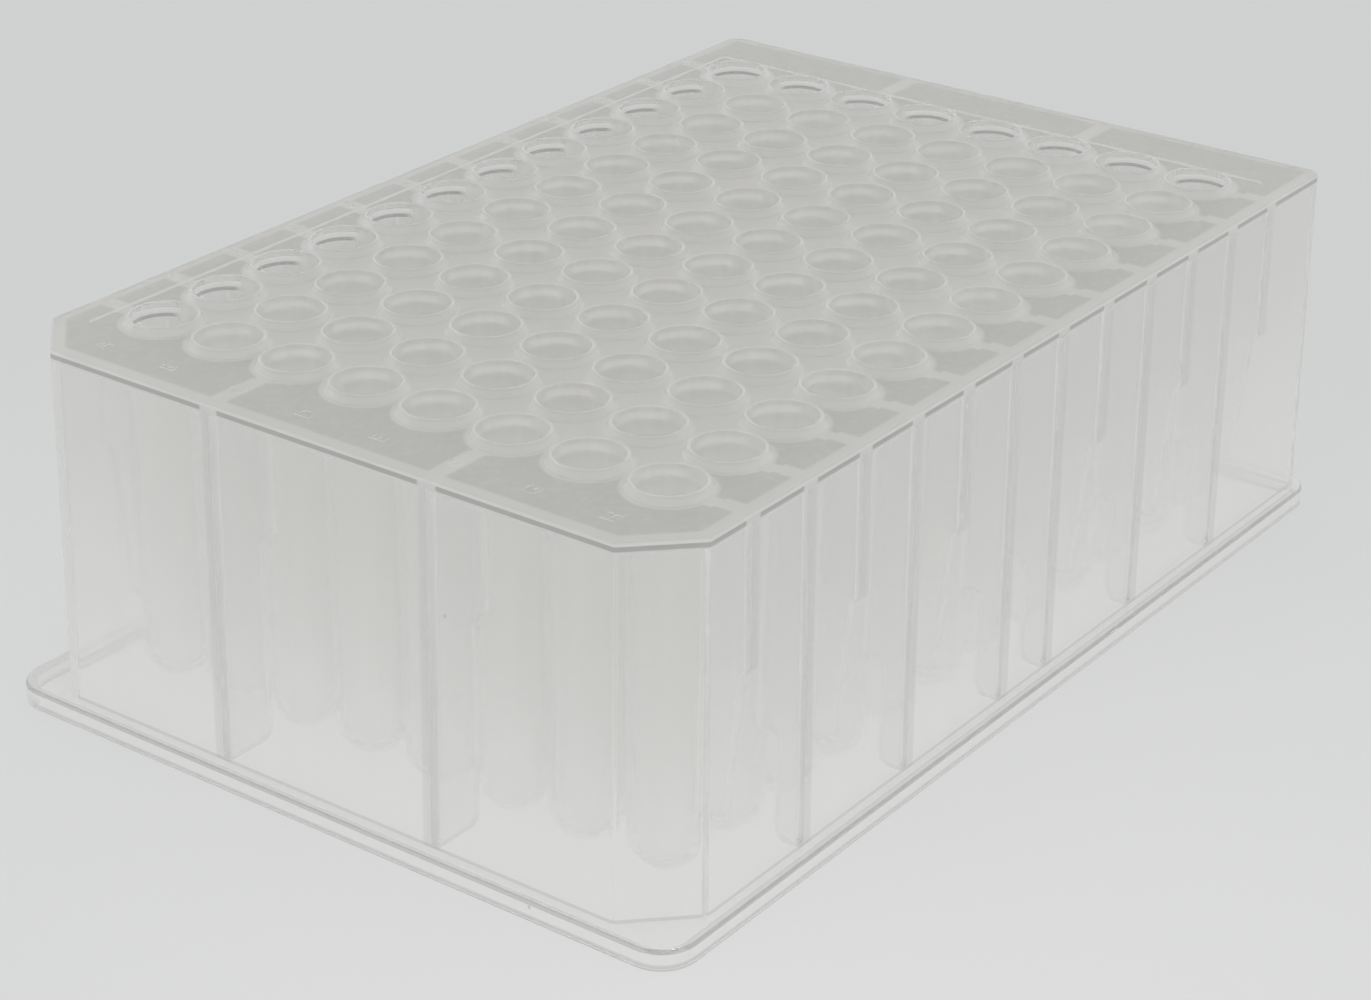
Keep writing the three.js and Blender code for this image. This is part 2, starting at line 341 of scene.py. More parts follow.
def new_tree(name, inputs):
    """Geometry node tree with a geometry socket and the named inputs (name, type, default)."""
    tree = bpy.data.node_groups.new(name, "GeometryNodeTree")
    tree.interface.new_socket("Geometry", in_out="INPUT", socket_type="NodeSocketGeometry")
    for label, kind, default in inputs:
        socket = tree.interface.new_socket(label, in_out="INPUT", socket_type=kind)
        if default is not None:
            socket.default_value = default
    tree.interface.new_socket("Geometry", in_out="OUTPUT", socket_type="NodeSocketGeometry")
    return tree


def add_node(tree, kind, settings=None, **links):
    """Node with its settings, and its inputs linked to sockets or set to values by name."""
    node = tree.nodes.new(kind)
    for key, value in (settings or {}).items():
        setattr(node, key, value)
    for key, value in links.items():
        place = int(key[1:]) if key[0] == "i" and key[1:].isdigit() else key.replace("_", " ")
        socket = node.inputs[place]
        if isinstance(value, bpy.types.NodeSocket):
            tree.links.new(value, socket)
        else:
            socket.default_value = value
    return node


def calc(tree, operation, *values):
    """Result of a math node on up to three values or sockets."""
    links = {f"i{place}": value for place, value in enumerate(values)}
    return add_node(tree, "ShaderNodeMath", {"operation": operation}, **links).outputs[0]


def product(tree, first, *others):
    """Product of values or sockets."""
    for other in others:
        first = calc(tree, "MULTIPLY", first, other)
    return first


def finish_tree(tree, geometry, material):
    """Ends a tree: makes the copies real and gives them the material."""
    real = add_node(tree, "GeometryNodeRealizeInstances", Geometry=geometry)
    painted = add_node(tree, "GeometryNodeSetMaterial", Geometry=real.outputs[0], Material=material)
    out = tree.nodes.new("NodeGroupOutput")
    tree.links.new(painted.outputs[0], out.inputs[0])
    return tree


def grid_tree():
    """Copies of a shape on a grid of columns and rows."""
    tree = new_tree("Copies on a grid", [
        ("Columns", "NodeSocketInt", 12),
        ("Rows", "NodeSocketInt", 8),
        ("Spacing", "NodeSocketFloat", 9 * MM),
        ("Centre", "NodeSocketVector", None),
        ("Material", "NodeSocketMaterial", None),
    ])
    given = tree.nodes.new("NodeGroupInput").outputs
    spans = [product(tree, calc(tree, "SUBTRACT", given[label], 1.0), given["Spacing"])
             for label in ("Columns", "Rows")]
    grid = add_node(tree, "GeometryNodeMeshGrid", Size_X=spans[0], Size_Y=spans[1],
                    Vertices_X=given["Columns"], Vertices_Y=given["Rows"])
    placed = add_node(tree, "GeometryNodeSetPosition", Geometry=grid.outputs["Mesh"],
                      Offset=given["Centre"])
    copies = add_node(tree, "GeometryNodeInstanceOnPoints", Points=placed.outputs[0],
                      Instance=given["Geometry"])
    return finish_tree(tree, copies.outputs[0], given["Material"])


def wall_tree():
    """Copies of a shape along a wall, at places picked by their count from the nearest end."""
    tree = new_tree("Copies along a wall", [
        ("Places", "NodeSocketInt", 12),
        ("Spacing", "NodeSocketFloat", 9 * MM),
        ("Repeat", "NodeSocketInt", 2),
        ("Picked", "NodeSocketInt", 0),
        ("Turn", "NodeSocketFloat", 0.0),
        ("Material", "NodeSocketMaterial", None),
    ])
    given = tree.nodes.new("NodeGroupInput").outputs
    last = calc(tree, "SUBTRACT", given["Places"], 1.0)
    index = tree.nodes.new("GeometryNodeInputIndex").outputs[0]
    nearest = calc(tree, "MINIMUM", index, calc(tree, "SUBTRACT", last, index))
    phase = calc(tree, "MODULO", nearest, given["Repeat"])
    picked = calc(tree, "COMPARE", phase, given["Picked"], 0.1)
    start = product(tree, last, -0.5, given["Spacing"])
    first = add_node(tree, "ShaderNodeCombineXYZ", Y=start)
    step = add_node(tree, "ShaderNodeCombineXYZ", Y=given["Spacing"])
    line = add_node(tree, "GeometryNodeMeshLine", Count=given["Places"],
                    Start_Location=first.outputs[0], Offset=step.outputs[0])
    copies = add_node(tree, "GeometryNodeInstanceOnPoints", Points=line.outputs[0],
                      Instance=given["Geometry"], Selection=picked)
    turn = add_node(tree, "ShaderNodeCombineXYZ", Z=given["Turn"])
    faced = add_node(tree, "GeometryNodeTransform", Geometry=copies.outputs[0],
                     Rotation=turn.outputs[0])
    return finish_tree(tree, faced.outputs[0], given["Material"])


def grow(name, shape, tree, values):
    """Plain mesh that a geometry node tree makes of a shape, with its inputs set by name."""
    modifier = shape.modifiers.new(tree.name, "NODES")
    modifier.node_group = tree
    sockets = {item.name: item.identifier for item in tree.interface.items_tree
               if item.in_out == "INPUT"}
    for label, value in values.items():
        modifier[sockets[label]] = value
    return plain_copy(name, shape)


# ---------------------------------------------------------------- the moulding

def foot_outline(inset):
    """Section of the foot, drawn in from its outer faces by inset."""
    shell = bpy.context.scene.well_plate.shell
    half_x = plate_size.x / 2 - inset
    half_y = plate_size.y / 2 - inset
    radius = shell.foot_radius - inset
    signs = ((1, -1), (1, 1), (-1, 1), (-1, -1))
    corners = [(sx * half_x, sy * half_y, radius) for sx, sy in signs]
    return rounded(corners, shell.corner_steps)


def skirt_outline(inset, z):
    """Section of the skirt at a height, drawn in from its outer faces by inset."""
    shell = bpy.context.scene.well_plate.shell
    rise = (z - shell.foot_height) / (deck_height() - shell.foot_height)
    drawn_in = inset + shell.skirt_lean * rise
    half_x = plate_size.x / 2 - shell.ledge_width - drawn_in
    half_y = plate_size.y / 2 - shell.ledge_width - drawn_in
    leg = shell.bevel_leg - drawn_in * (2 - math.sqrt(2))
    radius = max(shell.corner_radius - inset, shell.corner_radius / 4)
    bevel = max(shell.bevel_round - inset / 3, shell.bevel_round / 3)
    corners = [
        (half_x, -half_y, radius),
        (half_x, half_y, radius),
        (-half_x + leg, half_y, bevel),
        (-half_x, half_y - leg, bevel),
        (-half_x, -half_y + leg, bevel),
        (-half_x + leg, -half_y, bevel),
    ]
    return rounded(corners, shell.corner_steps)


def deck_height():
    """Height of the deck's border, from which the rims stand up."""
    return plate_high.z - bpy.context.scene.well_plate.shell.rim_height


def make_shell():
    """Foot, skirt and deck, open underneath."""
    shell = bpy.context.scene.well_plate.shell
    deck = deck_height()
    underside = deck - shell.deck_thickness
    ledge = shell.foot_height
    below_ledge = ledge - shell.ledge_thickness
    foot_edge = 0.12 * MM

    foot_rings = [(foot_outline(foot_edge), 0), (foot_outline(0), foot_edge)]
    for inset, rise in arc(0, 0, shell.ledge_round, 0, 90, 4):
        foot_rings.append((foot_outline(shell.ledge_round - inset),
                           ledge - shell.ledge_round + rise))
    whole = loft("moulding", foot_rings)

    skirt_foot = below_ledge + OVERLAP
    skirt_rings = [(skirt_outline(0, skirt_foot), skirt_foot)]
    for inset, rise in arc(0, 0, shell.deck_round, 0, 90, 4):
        z = deck - shell.deck_round + rise
        skirt_rings.append((skirt_outline(shell.deck_round - inset, z), z))
    whole = combine("UNION", whole, loft("skirt", skirt_rings))

    foot_hollow = loft("foot_hollow", [
        (foot_outline(shell.foot_wall), -OVERRUN),
        (foot_outline(shell.foot_wall), below_ledge),
    ])
    whole = combine("DIFFERENCE", whole, foot_hollow)

    hollow_rings = [(skirt_outline(shell.skirt_wall, -OVERRUN), -OVERRUN)]
    for inset, rise in arc(0, 0, shell.deck_fillet, 0, 90, 5):
        z = underside - shell.deck_fillet + rise
        hollow_rings.append((skirt_outline(shell.skirt_wall + shell.deck_fillet - inset, z), z))
    whole = combine("DIFFERENCE", whole, loft("skirt_hollow", hollow_rings))

    whole = combine("DIFFERENCE", whole, make_recess(deck))
    return combine("DIFFERENCE", whole, make_notch(below_ledge))


def make_recess(deck):
    """Cutter for the recess in the deck, with sides that slope in at its floor."""
    settings = bpy.context.scene.well_plate
    shell = settings.shell
    half_x = (settings.grid.columns - 1) / 2 * settings.grid.pitch + shell.recess_end
    half_y = (settings.grid.rows - 1) / 2 * settings.grid.pitch + shell.recess_side
    floor = deck - shell.recess_depth

    def outline(grow_by):
        x = half_x + grow_by
        y = half_y + grow_by
        corners = [(x, -y), (x, y), (-x, y), (-x, -y)]
        return rounded([(cx, cy, shell.recess_radius + grow_by) for cx, cy in corners],
                       shell.corner_steps)

    slope = shell.recess_depth / 2
    return loft("recess", [
        (outline(-slope), floor),
        (outline(0), floor + slope),
        (outline(0), deck),
        (outline(0), deck + OVERRUN),
    ])


def make_notch(below_ledge):
    """Cutter for the notch in the foot: it slants up on the long side."""
    shell = bpy.context.scene.well_plate.shell
    start = plate_high.x - shell.notch_length
    end = plate_high.x + OVERRUN
    outline = [(start, -OVERRUN), (end, -OVERRUN), (end, below_ledge),
               (start + below_ledge, below_ledge), (start, 0)]
    depth = shell.notch_width + OVERRUN
    cutter = slab("notch", outline, depth)
    cutter.data.transform(Matrix.Translation((0, plate_low.y + shell.notch_width - depth / 2, 0)))
    return cutter


def tube_profile():
    """Outside of a tube, from the middle of its mouth down to its lowest point."""
    settings = bpy.context.scene.well_plate
    shell = settings.shell
    well = settings.well
    rim_top = plate_high.z
    floor = deck_height() - shell.recess_depth
    underside = deck_height() - shell.deck_thickness
    land = well.mouth_radius + well.rim_land
    top = well.mouth_radius + well.wall
    bottom = well.bottom_radius + well.wall
    profile = [(0, rim_top)]
    profile += arc(land - well.rim_round, rim_top - well.rim_round, well.rim_round, 90, -80, 3)
    profile += arc(top + well.rim_flare * 0.6, floor + well.rim_flare, well.rim_flare, 200, 70, 3)
    profile.append((top + well.root_fillet, (floor + underside) / 2))
    profile += arc(top + well.root_fillet, underside - well.root_fillet,
                   well.root_fillet, 90, 90, 4)
    centre = well.clearance + bottom
    profile += arc(0, centre, bottom, 0, -90, well.dome_steps)[:-1]
    profile.append((0, well.clearance))
    return profile


def bore_profile():
    """Hollow of a well, from above its mouth down to its lowest point."""
    well = bpy.context.scene.well_plate.well
    rim_top = plate_high.z
    above = rim_top + OVERRUN
    lip = well.rim_round
    profile = [(0, above), (well.mouth_radius + lip, above)]
    profile += arc(well.mouth_radius + lip, rim_top - lip, lip, 90, 90, 2)
    centre = well.clearance + well.wall + well.bottom_radius
    profile += arc(0, centre, well.bottom_radius, 0, -90, well.dome_steps - 1)[:-1]
    profile.append((0, well.clearance + well.wall))
    return profile


def wall_rib_outline(reach, depth, step_height):
    """Rib outline out from a tube's axis to a wall: a web above the step, a strip below."""
    settings = bpy.context.scene.well_plate
    shell = settings.shell
    fillet = settings.rib.fillet
    top = deck_height() - shell.deck_thickness / 2
    in_wall = reach + shell.skirt_wall / 2
    edge = reach - depth
    low = shell.foot_height
    outline = [(in_wall, low), (in_wall - shell.skirt_lean, top), (0, top), (0, step_height)]
    outline += arc(edge - fillet, step_height - fillet, fillet, 90, -90, 5)
    outline += arc(edge + fillet, low + fillet, fillet, 180, 90, 5)
    return outline


def tube_rib_outline(reach):
    """Rib outline with a web above the step, and below it a fin that runs down the tube."""
    settings = bpy.context.scene.well_plate
    shell = settings.shell
    rib = settings.rib
    top = deck_height() - shell.deck_thickness / 2
    in_wall = reach + shell.skirt_wall / 2
    slot = rib.gap_at_step
    outline = [(0, rib.tube_end), (reach - rib.gap_at_end, rib.tube_end)]
    outline += arc(reach, rib.tube_step - slot, slot, 180, -90, 4)
    outline += [(in_wall - shell.skirt_lean / 2, rib.tube_step),
                (in_wall - shell.skirt_lean, top), (0, top)]
    return outline


def make_ribs(material):
    """Every rib, as plain meshes: two kinds along the long sides and one on the ends."""
    settings = bpy.context.scene.well_plate
    grid = settings.grid
    shell = settings.shell
    rib = settings.rib
    tree = wall_tree()
    last_x = (grid.columns - 1) / 2 * grid.pitch
    last_y = (grid.rows - 1) / 2 * grid.pitch
    inset = shell.ledge_width + shell.skirt_wall
    end_reach = plate_high.x - inset - last_x
    side_reach = plate_high.y - inset - last_y
    # Of the places along a wall, counted from the nearest end, one in each repeat has a rib
    kinds = [
        ("wall_ribs", wall_rib_outline(side_reach, rib.wall_depth, rib.wall_step),
         last_y, grid.columns, 2, 1, (90, -90)),
        ("tube_ribs", tube_rib_outline(side_reach), last_y, grid.columns, 2, 0, (90, -90)),
        ("end_ribs", wall_rib_outline(end_reach, rib.end_depth, rib.end_step),
         last_x, grid.rows, 4, 2, (0, 180)),
    ]
    ribs = []
    for name, outline, distance, places, repeat, picked, turns in kinds:
        for turn in turns:
            shape = slab(name, outline, rib.thickness)
            shape.data.transform(Matrix.Translation((distance, 0, 0)))
            ribs.append(grow(name, shape, tree, {
                "Places": places, "Spacing": grid.pitch, "Repeat": repeat, "Picked": picked,
                "Turn": math.radians(turn), "Material": material,
            }))
    return ribs


def make_moulding(material):
    """The whole plate as one closed mesh."""
    settings = bpy.context.scene.well_plate
    grid = settings.grid
    well = settings.well
    tree = grid_tree()
    whole = make_shell()
    for ribs in make_ribs(material):
        whole = combine("UNION", whole, ribs)
    # Neighbouring tubes flow into each other at the deck, so every second one is added at a time
    for shift_x in (-0.5, 0.5):
        for shift_y in (-0.5, 0.5):
            tubes = grow("tubes", turned("tube", tube_profile(), well.steps), tree, {
                "Columns": grid.columns // 2, "Rows": grid.rows // 2, "Spacing": 2 * grid.pitch,
                "Centre": (shift_x * grid.pitch, shift_y * grid.pitch, 0), "Material": material,
            })
            whole = combine("UNION", whole, tubes)
    bores = grow("bores", turned("bore", bore_profile(), well.steps), tree, {
        "Columns": grid.columns, "Rows": grid.rows, "Spacing": grid.pitch, "Material": material,
    })
    return add_marks(combine("DIFFERENCE", whole, bores))


def make_mark(text, x, y):
    """Raised letter or number as a closed solid that sinks a little into the deck."""
    mark = bpy.context.scene.well_plate.mark
    curve = bpy.data.curves.new("mark", "FONT")
    curve.body = text
    curve.size = mark.size
    curve.align_x = "CENTER"
    curve.align_y = "CENTER"
    curve.resolution_u = 2
    curve.extrude = mark.relief
    curve.space_character = 0.95
    piece = bpy.data.objects.new("mark", curve)
    bpy.context.scene.collection.objects.link(piece)
    piece = plain_copy("mark", piece)
    bm = bmesh.new()
    bm.from_mesh(piece.data)
    bmesh.ops.remove_doubles(bm, verts=bm.verts, dist=0.001 * MM)
    bm.to_mesh(piece.data)
    bm.free()
    piece.data.transform(Matrix.Translation((x, y, deck_height())))
    return piece


def add_marks(whole):
    """The moulding with its row letters at the first column's end and numbers past row A."""
    settings = bpy.context.scene.well_plate
    grid = settings.grid
    first_x = -(grid.columns - 1) / 2 * grid.pitch
    first_y = (grid.rows - 1) / 2 * grid.pitch
    for row in range(grid.rows):
        letter = make_mark(chr(ord("A") + row), first_x - settings.mark.letter_margin,
                           first_y - row * grid.pitch)
        whole = combine("UNION", whole, letter)
    for column in range(grid.columns):
        number = make_mark(str(column + 1), first_x + column * grid.pitch,
                           first_y + settings.mark.number_margin)
        whole = combine("UNION", whole, number)
    return whole


def smooth(piece, angle):
    """Shades a piece smooth up to an angle, with its large faces kept flat."""
    mesh = piece.data
    mesh.polygons.foreach_set("use_smooth", [True] * len(mesh.polygons))
    mesh.set_sharp_from_angle(angle=math.radians(angle))
    modifier = piece.modifiers.new("weighted", "WEIGHTED_NORMAL")
    modifier.keep_sharp = True
    modifier.weight = 80
    return plain_copy(piece.name, piece)


def dress(piece, material):
    """Gives a finished piece its material and body."""
    piece.data.materials.clear()
    piece.data.materials.append(material)
    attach(piece, BODY)


# ---------------------------------------------------------------- shader groups

def shader_group(name, inputs, outputs):
    """Shader node group with a Vector input and the named values in and out."""
    tree = bpy.data.node_groups.new(name, "ShaderNodeTree")
    tree.interface.new_socket("Vector", in_out="INPUT", socket_type="NodeSocketVector")
    for label, default in inputs:
        socket = tree.interface.new_socket(label, in_out="INPUT", socket_type="NodeSocketFloat")
        socket.default_value = default
    for label in outputs:
        tree.interface.new_socket(label, in_out="OUTPUT", socket_type="NodeSocketFloat")
    return tree, tree.nodes.new("NodeGroupInput").outputs


def put_out(tree, **results):
    """Ends a shader group by linking its results to its named outputs."""
    out = tree.nodes.new("NodeGroupOutput")
    for label, socket in results.items():
        tree.links.new(socket, out.inputs[label])
    return tree


def place_group(tree, group, vector, values):
    """Group node in a material, with its inputs set by name; returns its outputs."""
    node = add_node(tree, "ShaderNodeGroup", {"node_tree": group}, Vector=vector)
    for label, value in values.items():
        node.inputs[label].default_value = value
    return node.outputs


def fade(tree, value, low, width):
    """0 up to low, 1 from low + width on, with a smooth step between."""
    high = calc(tree, "ADD", low, width)
    return add_node(tree, "ShaderNodeMapRange", {"interpolation_type": "SMOOTHSTEP"},
                    Value=value, From_Min=low, From_Max=high).outputs[0]


def nearest_centre(tree, distance, pitch, last):
    """Distance to the nearest well's centre, along one axis and to either side of it."""
    cell = calc(tree, "FLOOR", calc(tree, "DIVIDE", distance, pitch))
    middle = product(tree, calc(tree, "ADD", cell, 0.5), pitch)
    centre = calc(tree, "MINIMUM", middle, last)
    return calc(tree, "ABSOLUTE", calc(tree, "SUBTRACT", distance, centre))


def hollow_group():
    """Tells where the deck spans a hollow, and where the skirt's edge has no web behind it: the
    places of the painted shade.
    """
    tree, given = shader_group("Hollows under the deck", [
        ("Pitch", 9 * MM), ("Last column", 49.5 * MM), ("Last row", 31.5 * MM),
        ("Half length", 60 * MM), ("Half width", 40 * MM), ("Bevel", 5 * MM),
        ("Ring", 4.5 * MM), ("Rib", 0.6 * MM), ("End rib", 13.5 * MM), ("Step", 25 * MM),
        ("Fade", 0.5 * MM),
    ], ["Hollow", "Outside", "Web", "Radius", "Behind"])
    axes = add_node(tree, "ShaderNodeSeparateXYZ", Vector=given["Vector"]).outputs
    fade_width = given["Fade"]
    x = calc(tree, "ABSOLUTE", axes["X"])
    y = calc(tree, "ABSOLUTE", axes["Y"])
    across = nearest_centre(tree, x, given["Pitch"], given["Last column"])
    along = nearest_centre(tree, y, given["Pitch"], given["Last row"])
    radius = calc(tree, "SQRT", calc(tree, "ADD", product(tree, across, across),
                                     product(tree, along, along)))
    off_tubes = fade(tree, radius, given["Ring"], fade_width)

    past_row = calc(tree, "SUBTRACT", y, given["Last row"])
    past_column = calc(tree, "SUBTRACT", x, given["Last column"])
    beyond = fade(tree, calc(tree, "MAXIMUM", past_row, past_column), 0.0, 1 * MM)
    behind = calc(tree, "MAXIMUM", calc(tree, "SUBTRACT", axes["Y"], given["Last row"]),
                  calc(tree, "SUBTRACT", axes["X"], given["Last column"]))
    from_end_rib = calc(tree, "ABSOLUTE", calc(tree, "SUBTRACT", y, given["End rib"]))
    off_side_ribs = calc(tree, "MAXIMUM", fade(tree, across, given["Rib"], fade_width),
                         calc(tree, "LESS_THAN", past_row, 0.0))
    off_end_ribs = calc(tree, "MAXIMUM", fade(tree, from_end_rib, given["Rib"], fade_width),
                        calc(tree, "LESS_THAN", past_column, 0.0))

    corner = calc(tree, "SUBTRACT", calc(tree, "ADD", given["Half length"], given["Half width"]),
                  given["Bevel"])
    to_bevel = calc(tree, "SUBTRACT", calc(tree, "ADD", corner, axes["X"]), y)
    inside = calc(tree, "MINIMUM", calc(tree, "SUBTRACT", given["Half length"], x),
                  calc(tree, "SUBTRACT", given["Half width"], y))
    inside = calc(tree, "MINIMUM", inside, product(tree, to_bevel, math.sqrt(0.5)))
    off_skirt = fade(tree, inside, 0.1 * MM, fade_width)
    mid_wall = 0.6 * MM
    outside = fade(tree, calc(tree, "MULTIPLY", inside, -1.0), mid_wall, SOFT)
    off_ribs = product(tree, off_side_ribs, off_end_ribs)
    # Every second side rib stops at the step
    odd = calc(tree, "MODULO", calc(tree, "FLOOR", calc(tree, "DIVIDE", x, given["Pitch"])), 2.0)
    past_step = calc(tree, "GREATER_THAN", axes["Z"], product(tree, odd, given["Step"]))
    # A web's painted shade falls fully on the skirt's outside and a little on its own faces
    strength = calc(tree, "MULTIPLY_ADD", outside, 0.7, 0.3)
    web = product(tree, calc(tree, "SUBTRACT", 1.0, off_ribs), past_step, off_tubes, strength)
    return put_out(tree, Hollow=product(tree, off_tubes, beyond, off_ribs, off_skirt),
                   Outside=product(tree, outside, off_ribs), Web=web, Radius=radius, Behind=behind)


def band_group():
    """1 between two heights, with a soft edge at both."""
    tree, given = shader_group("Band of height", [
        ("Low", 0.0), ("High", 1 * MM), ("Fade", 0.1 * MM)], ["Band"])
    z = add_node(tree, "ShaderNodeSeparateXYZ", Vector=given["Vector"]).outputs["Z"]
    above = fade(tree, z, given["Low"], given["Fade"])
    below = calc(tree, "SUBTRACT", 1.0, fade(tree, z, given["High"], given["Fade"]))
    return put_out(tree, Band=product(tree, above, below))


def skin_group():
    """Marks that moulding leaves: upright flow streaks, fine mottling and a few dark specks."""
    tree, given = shader_group("Moulded skin", [
        ("Streak width", 1.5 * MM), ("Streak length", 30 * MM), ("Mottle size", 0.9 * MM),
        ("Speck spacing", 14 * MM), ("Speck size", 0.18 * MM),
    ], ["Streaks", "Mottle", "Specks"])
    narrow = calc(tree, "DIVIDE", 1.0, given["Streak width"])
    tall = calc(tree, "DIVIDE", 1.0, given["Streak length"])
    stretch = add_node(tree, "ShaderNodeCombineXYZ", X=narrow, Y=narrow, Z=tall).outputs[0]
    stretched = add_node(tree, "ShaderNodeVectorMath", {"operation": "MULTIPLY"},
                         i0=given["Vector"], i1=stretch).outputs[0]
    streaks = add_node(tree, "ShaderNodeTexNoise", Vector=stretched, Scale=1.0, Detail=3.0)
    mottle = add_node(tree, "ShaderNodeTexNoise", Vector=given["Vector"], Detail=2.0,
                      Scale=calc(tree, "DIVIDE", 1.0, given["Mottle size"]))
    cells = add_node(tree, "ShaderNodeTexVoronoi", Vector=given["Vector"], Randomness=1.0,
                     Scale=calc(tree, "DIVIDE", 1.0, given["Speck spacing"]))
    size = calc(tree, "DIVIDE", given["Speck size"], given["Speck spacing"])
    specks = calc(tree, "LESS_THAN", cells.outputs["Distance"], size)
    return put_out(tree, Streaks=streaks.outputs[0], Mottle=mottle.outputs[0], Specks=specks)


# ---------------------------------------------------------------- the plastic

def blend(tree, factor, first, second, kind="MIX"):
    """Colour mixed from two colours or sockets."""
    node = add_node(tree, "ShaderNodeMix", {"data_type": "RGBA", "blend_type": kind}, i0=factor)
    for place, value in ((6, first), (7, second)):
        if isinstance(value, bpy.types.NodeSocket):
            tree.links.new(value, node.inputs[place])
        else:
            node.inputs[place].default_value = (*value, 1)
    return node.outputs[2]


def surface_masks(tree, coordinates):
    """Masks and values by name, for where a point lies on the plate and how it faces, which place
    the painted light and shade.
    """
    settings = bpy.context.scene.well_plate
    grid = settings.grid
    shell = settings.shell
    well = settings.well
    plastic = settings.plastic
    place = coordinates["Object"]
    deck = deck_height()
    recess = deck - shell.recess_depth
    mark_top = recess + settings.mark.relief
    rim_foot = deck + 0.3 * MM
    above = plate_high.z + OVERRUN
    inner = shell.ledge_width + shell.skirt_lean + shell.skirt_wall
    band_nodes = band_group()

    def band(low, high, soft):
        values = {"Low": low, "High": high, "Fade": soft}
        return place_group(tree, band_nodes, place, values)["Band"]

    skin = place_group(tree, skin_group(), place, {})
    hollows = place_group(tree, hollow_group(), place, {
        "Pitch": grid.pitch,
        "Last column": (grid.columns - 1) / 2 * grid.pitch,
        "Last row": (grid.rows - 1) / 2 * grid.pitch,
        "Half length": plate_size.x / 2 - inner,
        "Half width": plate_size.y / 2 - inner,
        "Bevel": shell.bevel_leg - (shell.skirt_lean + shell.skirt_wall) * (2 - math.sqrt(2)),
        "Ring": well.mouth_radius + well.wall + SOFT,
        "Rib": settings.rib.thickness / 2 + 0.15 * MM,
        "End rib": 1.5 * grid.pitch,
        "Step": settings.rib.tube_step,
        "Fade": plastic.soft_edge,
    })
    height = add_node(tree, "ShaderNodeSeparateXYZ", Vector=place).outputs["Z"]
    facing = add_node(tree, "ShaderNodeSeparateXYZ", Vector=coordinates["Normal"])
    up = fade(tree, facing.outputs["Z"], 0.6, 0.3)
    on_deck = product(tree, up, band(recess - 0.2 * MM, rim_foot, 0.1 * MM))
    # Makes the hollows' shade uneven, from half to about one and a half times its strength
    mottled = calc(tree, "MULTIPLY_ADD", skin["Mottle"], 0.9, 0.5)
    off_bore = fade(tree, hollows["Radius"], well.mouth_radius, SOFT)
    in_bore = calc(tree, "SUBTRACT", 1.0, off_bore)
    off_rim = fade(tree, hollows["Radius"], well.mouth_radius + well.wall, SOFT)
    on_rim = product(tree, off_bore, calc(tree, "SUBTRACT", 1.0, off_rim),
                     band(rim_foot, above, SOFT))
    on_mark = product(tree, band(mark_top - 0.06 * MM, mark_top + 0.03 * MM, 0.03 * MM),
                      up, off_rim)
    # Painted light: row A's and the last column's far sides, in the bores under the deck's edge,
    # take the lighter tint as if lit from behind, with a painted dark line just under the edge
    outer_side = product(tree, in_bore, fade(tree, hollows["Behind"], 0.8 * MM, 1 * MM),
                         fade(tree, height, deck - 9 * MM, 3 * MM))
    top = band(deck - 1.2 * MM, above, SOFT)
    return {
        "streaks": skin["Streaks"],
        "mottle": skin["Mottle"],
        "specks": skin["Specks"],
        "deck": on_deck,
        "hollow": product(tree, on_deck, hollows["Hollow"], mottled),
        "edge": product(tree, band(deck - 0.95 * MM, deck - 0.45 * MM, 0.15 * MM),
                        hollows["Outside"]),
        "web": product(tree, band(shell.foot_height, deck - 0.4 * MM, SOFT), hollows["Web"]),
        # Painted shadow lines at the foot's bottom and just under the ledge's top edge
        "foot": calc(tree, "MAXIMUM", band(-OVERRUN, 0.15 * MM, 0.1 * MM),
                     band(shell.foot_height - 0.5 * MM, shell.foot_height - 0.1 * MM,
                          0.08 * MM)),
        "wall height": fade(tree, height, plastic.low_end, plastic.wall_fade),
        "bore height": fade(tree, height, plastic.low_end, plastic.bore_fade),
        "mouth": fade(tree, height, deck - plastic.mouth_depth, plastic.mouth_fade),
        "bore": in_bore,
        "outer side": outer_side,
        "outer edge": product(tree, outer_side,
                              band(deck - 1.1 * MM, deck - 0.7 * MM, 0.15 * MM)),
        "core": calc(tree, "SUBTRACT", calc(tree, "MAXIMUM", top, in_bore), outer_side),
        "rim": on_rim,
        "mark": on_mark,
    }


